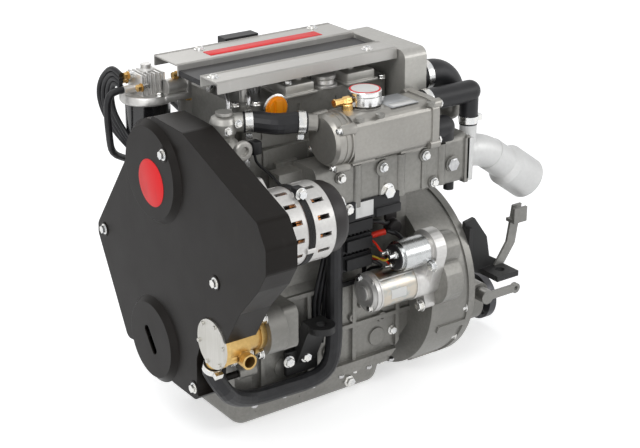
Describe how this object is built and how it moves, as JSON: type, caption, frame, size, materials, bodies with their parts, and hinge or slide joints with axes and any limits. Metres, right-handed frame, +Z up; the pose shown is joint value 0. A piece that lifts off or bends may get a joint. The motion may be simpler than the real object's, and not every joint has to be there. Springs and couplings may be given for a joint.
{
  "type": "marine diesel engine",
  "caption": "Compact inline marine diesel engine with a belt cover, sea water pump, heat exchanger, starter, exhaust elbow and reduction gearbox with a shift lever.",
  "frame": {"origin": "centre of the four engine foot bolt holes, in the plane of the undersides of the feet", "axes": "+X from the belt cover to the propeller shaft coupling, +Y away from the heat exchanger and starter, +Z up"},
  "size_m": [0.7538, 0.542, 0.6265],
  "materials": {
    "engine_paint": "grey metallic engine paint on castings",
    "cast_aluminium": "bare cast aluminium",
    "rail_aluminium": "brushed anodised aluminium",
    "cover_black": "satin black coated sheet",
    "channel_black": "satin dark moulding",
    "machined_steel": "machined steel",
    "dark_steel": "dark forged and cast iron",
    "zinc_steel": "zinc plated steel",
    "hose_rubber": "black moulded rubber",
    "pump_brass": "cast brass",
    "plate_steel": "plain steel plate",
    "copper_wire": "varnished copper wire and laminated ring",
    "cap_orange": "orange moulding",
    "cap_chrome": "plated pressed steel",
    "filter_black": "black enamel can",
    "connector_black": "black moulded connector"
  },
  "bodies": {
    "engine": {"cylinder_block": "engine_paint", "cylinder_head": "engine_paint", "rocker_cover": "engine_paint", "oil_pan": "engine_paint", "timing_case": "engine_paint", "casting_bolts": "zinc_steel", "pistons_and_rods": "cast_aluminium", "valve_gear": "machined_steel", "fuel_rail": "machined_steel", "fuel_pump": "cast_aluminium", "coolant_pump": "engine_paint", "drive_belt": "hose_rubber", "belt_cover": "cover_black", "alternator_housing": "cast_aluminium", "alternator_windings": "copper_wire", "alternator_brackets": "engine_paint", "sea_pump_body": "pump_brass", "sea_pump_cover": "plate_steel", "heat_exchanger": "engine_paint", "coolant_elbow": "engine_paint", "rubber_hoses": "hose_rubber", "sea_water_hose": "hose_rubber", "hose_clamps": "zinc_steel", "exhaust_manifold": "engine_paint", "exhaust_elbow": "cast_aluminium", "starter_motor": "cast_aluminium", "starter_solenoid": "zinc_steel", "bell_housing": "engine_paint", "gearbox_case": "engine_paint", "engine_feet": "cover_black", "cable_bracket": "zinc_steel", "top_rails": "rail_aluminium", "rail_channel": "channel_black", "air_silencer": "engine_paint", "intake_manifold": "engine_paint", "fuel_filter": "filter_black", "fuel_hoses": "hose_rubber", "oil_filter": "filter_black", "wiring_connectors": "connector_black"},
    "crank": {"crankshaft": "dark_steel", "rod_big_ends": "machined_steel", "crank_pulley": "dark_steel", "flywheel": "dark_steel", "gearbox_input_shaft": "machined_steel"},
    "idler": {"idler_gear": "machined_steel"},
    "cam": {"camshaft": "dark_steel"},
    "fuel_pump_drive": {"fuel_pump_gear": "machined_steel"},
    "water_idler": {"water_idler_gear": "machined_steel"},
    "sea_pump_drive": {"sea_pump_impeller": "machined_steel"},
    "alternator_shaft": {"alternator_rotor": "dark_steel"},
    "coolant_pump_shaft": {"coolant_pump_pulley": "dark_steel"},
    "transfer": {"transfer_gear": "machined_steel"},
    "output_gear_body": {"output_gear": "machined_steel"},
    "output_shaft": {"output_coupling": "dark_steel"},
    "starter_shaft": {"starter_armature": "copper_wire"},
    "starter_drive": {"starter_pinion": "machined_steel"},
    "gear_lever": {"shift_lever": "zinc_steel"},
    "coolant_cap": {"pressure_cap": "cap_chrome"},
    "oil_cap": {"oil_filler_cap": "cap_orange"},
    "oil_dipstick": {"dipstick": "machined_steel"}
  },
  "joints": [
    {"name": "crank_spin", "type": "hinge", "parent": "engine", "child": "crank", "pos_m": [-0.12, 0, -0.014], "axis": [1, 0, 0], "continuous": true},
    {"name": "idler_spin", "type": "hinge", "parent": "engine", "child": "idler", "pos_m": [-0.322, 0.06028, 0.01031], "axis": [1, 0, 0], "continuous": true},
    {"name": "cam_spin", "type": "hinge", "parent": "engine", "child": "cam", "pos_m": [-0.12, 0.076, 0.104], "axis": [1, 0, 0], "continuous": true},
    {"name": "fuel_pump_spin", "type": "hinge", "parent": "engine", "child": "fuel_pump_drive", "pos_m": [-0.322, 0.16057, 0.07322], "axis": [1, 0, 0], "continuous": true},
    {"name": "water_idler_spin", "type": "hinge", "parent": "engine", "child": "water_idler", "pos_m": [-0.322, -0.0835, 0.04103], "axis": [1, 0, 0], "continuous": true},
    {"name": "sea_pump_spin", "type": "hinge", "parent": "engine", "child": "sea_pump_drive", "pos_m": [-0.322, -0.183, 0.051], "axis": [1, 0, 0], "continuous": true},
    {"name": "alternator_spin", "type": "hinge", "parent": "engine", "child": "alternator_shaft", "pos_m": [-0.32, -0.235, 0.2415], "axis": [1, 0, 0], "continuous": true},
    {"name": "coolant_pump_spin", "type": "hinge", "parent": "engine", "child": "coolant_pump_shaft", "pos_m": [-0.36, -0.02, 0.2845], "axis": [1, 0, 0], "continuous": true},
    {"name": "transfer_spin", "type": "hinge", "parent": "engine", "child": "transfer", "pos_m": [0.164, 0, -0.05775], "axis": [1, 0, 0], "continuous": true},
    {"name": "output_gear_spin", "type": "hinge", "parent": "engine", "child": "output_gear_body", "pos_m": [0.164, 0, -0.1265], "axis": [1, 0, 0], "continuous": true},
    {"name": "output_spin", "type": "hinge", "parent": "engine", "child": "output_shaft", "pos_m": [0.23, 0, -0.1265], "axis": [1, 0, 0], "continuous": true},
    {"name": "starter_spin", "type": "hinge", "parent": "engine", "child": "starter_shaft", "pos_m": [-0.04, -0.15092, 0.03915], "axis": [1, 0, 0], "continuous": true},
    {"name": "starter_engage", "type": "slide", "parent": "starter_shaft", "child": "starter_drive", "axis": [1, 0, 0], "range_m": [0, 0.016]},
    {"name": "shift_lever_swing", "type": "hinge", "parent": "engine", "child": "gear_lever", "pos_m": [0.237, -0.076, -0.0845], "axis": [0, 1, 0], "range_deg": [-30, 30]},
    {"name": "pressure_cap_turn", "type": "hinge", "parent": "engine", "child": "coolant_cap", "pos_m": [-0.112, -0.16, 0.3865], "axis": [0, 0, 1], "range_deg": [0, 90]},
    {"name": "oil_cap_turn", "type": "hinge", "parent": "engine", "child": "oil_cap", "pos_m": [-0.233, -0.09, 0.3745], "axis": [0, -1, 0], "range_deg": [0, 90]},
    {"name": "dipstick_pull", "type": "slide", "parent": "engine", "child": "oil_dipstick", "axis": [0, 0.5, 0.866], "range_m": [0, 0.15]}
  ],
  "couplings": [
    {"joint": "idler_spin", "follows": "crank_spin", "ratio": -0.85714},
    {"joint": "cam_spin", "follows": "crank_spin", "ratio": 0.5},
    {"joint": "fuel_pump_spin", "follows": "crank_spin", "ratio": -1},
    {"joint": "water_idler_spin", "follows": "crank_spin", "ratio": -0.42857},
    {"joint": "sea_pump_spin", "follows": "crank_spin", "ratio": 1},
    {"joint": "alternator_spin", "follows": "crank_spin", "ratio": 1.6667},
    {"joint": "coolant_pump_spin", "follows": "crank_spin", "ratio": 0.89286},
    {"joint": "transfer_spin", "follows": "crank_spin", "ratio": -1.0588},
    {"joint": "output_gear_spin", "follows": "crank_spin", "ratio": 0.47368}
  ]
}
